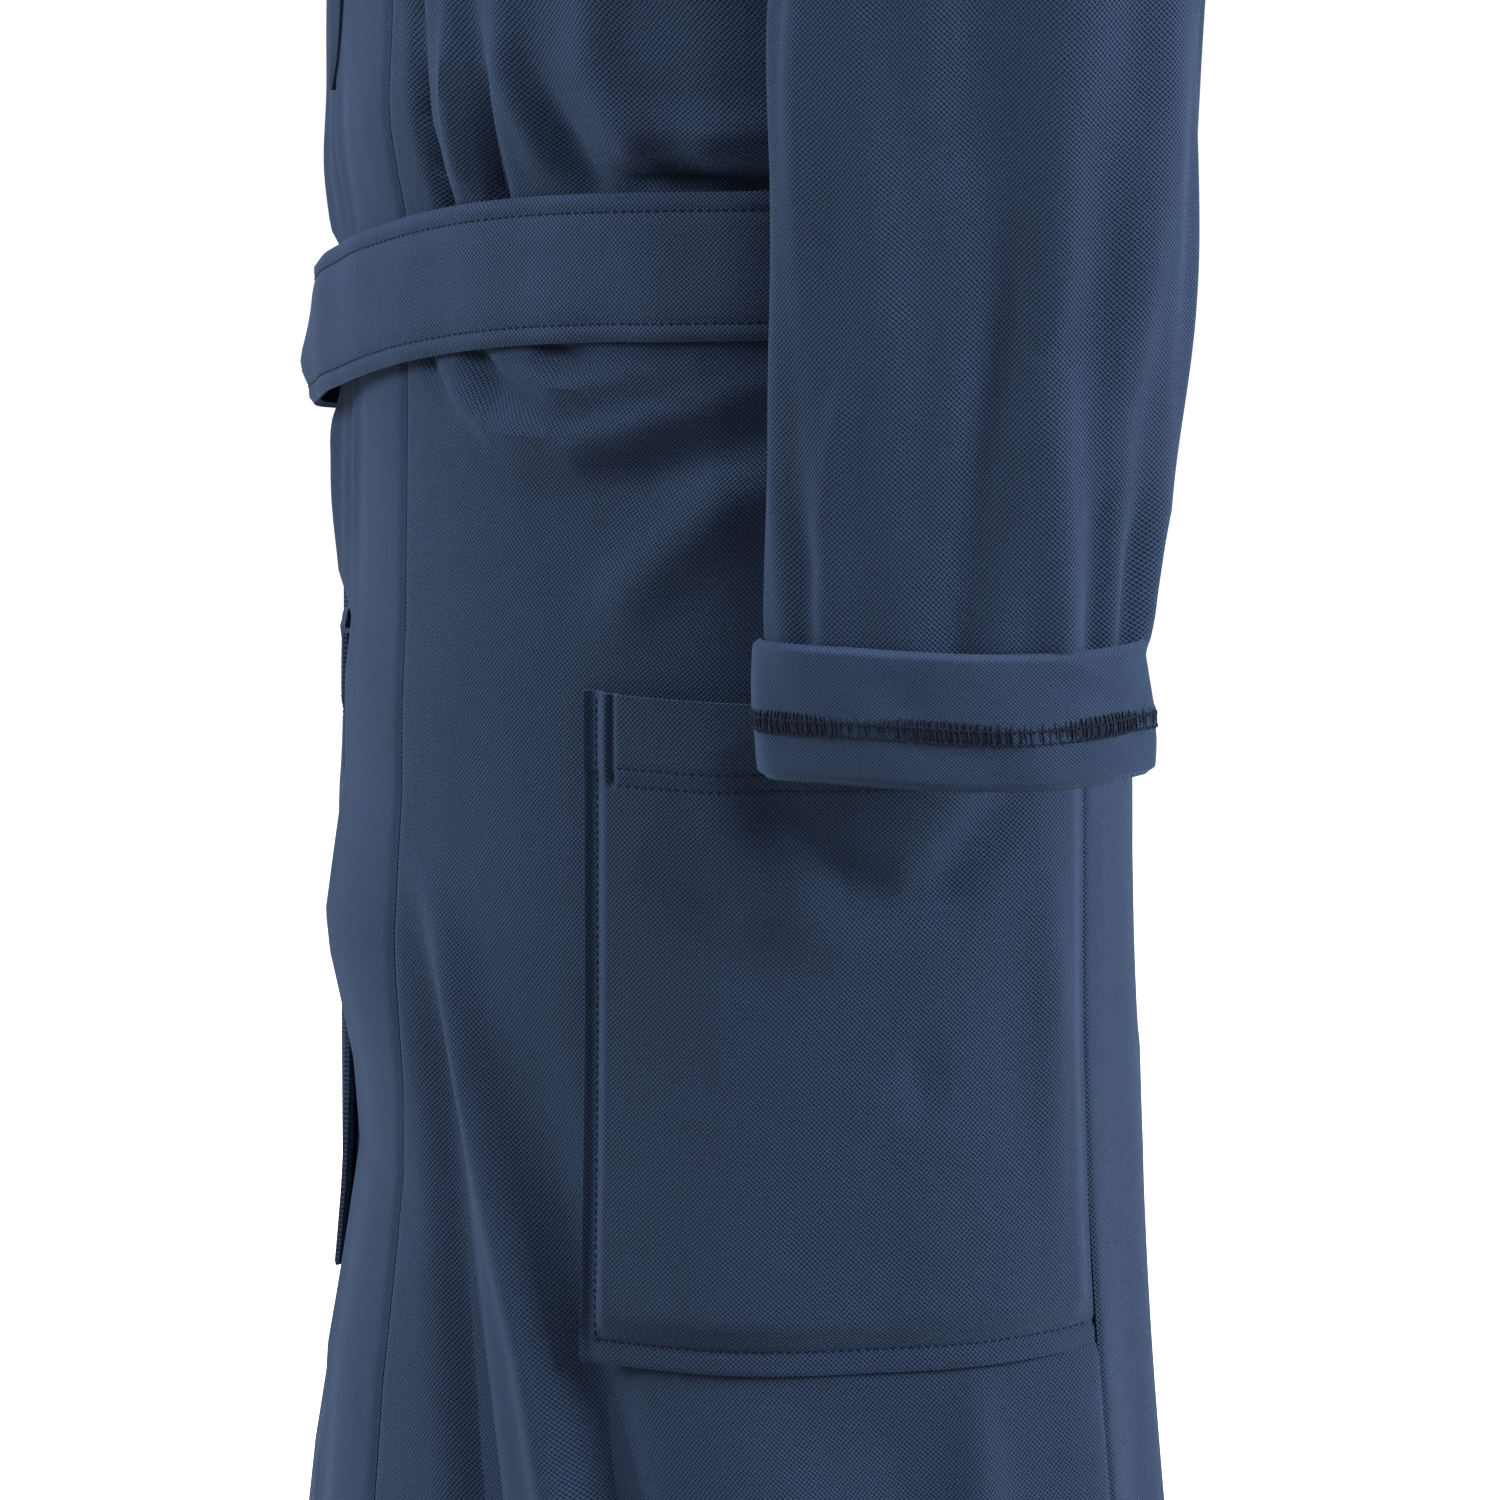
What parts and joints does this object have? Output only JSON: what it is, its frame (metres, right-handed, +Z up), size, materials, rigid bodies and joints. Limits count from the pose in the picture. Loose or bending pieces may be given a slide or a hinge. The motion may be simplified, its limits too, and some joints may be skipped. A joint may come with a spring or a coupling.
{
  "type": "bathrobe",
  "caption": "Wrap bathrobe in textured knit with a shawl collar, tied belt, turned-up overlocked cuffs, patch pockets and a hanger loop, shaped as worn.",
  "frame": {"origin": "the place inside the top of the hanger loop where a hook bears", "axes": "+X to the wearer's left, -Y to the wearer's front, +Z up"},
  "size_m": [0.5094, 0.3383, 1.1496],
  "materials": {
    "pique": "matte navy pique knit",
    "pique_band": "matte navy pique knit, doubled and pressed",
    "belt_pique": "matte navy pique knit, doubled and topstitched",
    "overlock_thread": "dark navy overlock thread",
    "tape": "woven navy tape"
  },
  "bodies": {
    "robe": {"back_panel": "pique", "left_front_panel": "pique", "right_front_panel": "pique", "left_front_band": "pique_band", "right_front_band": "pique_band", "left_collar": "pique_band", "right_collar": "pique_band", "left_pocket": "pique", "right_pocket": "pique", "belt_waist": "belt_pique", "belt_knot": "belt_pique", "left_belt_loop": "belt_pique", "right_belt_loop": "belt_pique", "neck_tape": "tape", "hanger_loop": "tape"},
    "left_arm": {"left_sleeve": "pique", "left_cuff": "pique_band", "left_cuff_overlock": "overlock_thread"},
    "right_arm": {"right_sleeve": "pique", "right_cuff": "pique_band", "right_cuff_overlock": "overlock_thread"},
    "belt_long": {"belt_long_end": "belt_pique"},
    "belt_short": {"belt_short_end": "belt_pique"}
  },
  "joints": [
    {"name": "left_sleeve_raise", "type": "hinge", "parent": "robe", "child": "left_arm", "pos_m": [0.198, -0.03384, -0.05149], "axis": [0, -1, 0], "range_deg": [0, 85]},
    {"name": "right_sleeve_raise", "type": "hinge", "parent": "robe", "child": "right_arm", "pos_m": [-0.198, -0.03384, -0.05149], "axis": [0, 1, 0], "range_deg": [0, 85]},
    {"name": "belt_long_swing", "type": "hinge", "parent": "robe", "child": "belt_long", "pos_m": [-0.18567, -0.03384, -0.52836], "axis": [1, 0, 0], "range_deg": [-35, 10]},
    {"name": "belt_short_swing", "type": "hinge", "parent": "robe", "child": "belt_short", "pos_m": [-0.19167, -0.03384, -0.52599], "axis": [1, 0, 0], "range_deg": [-35, 10]}
  ]
}
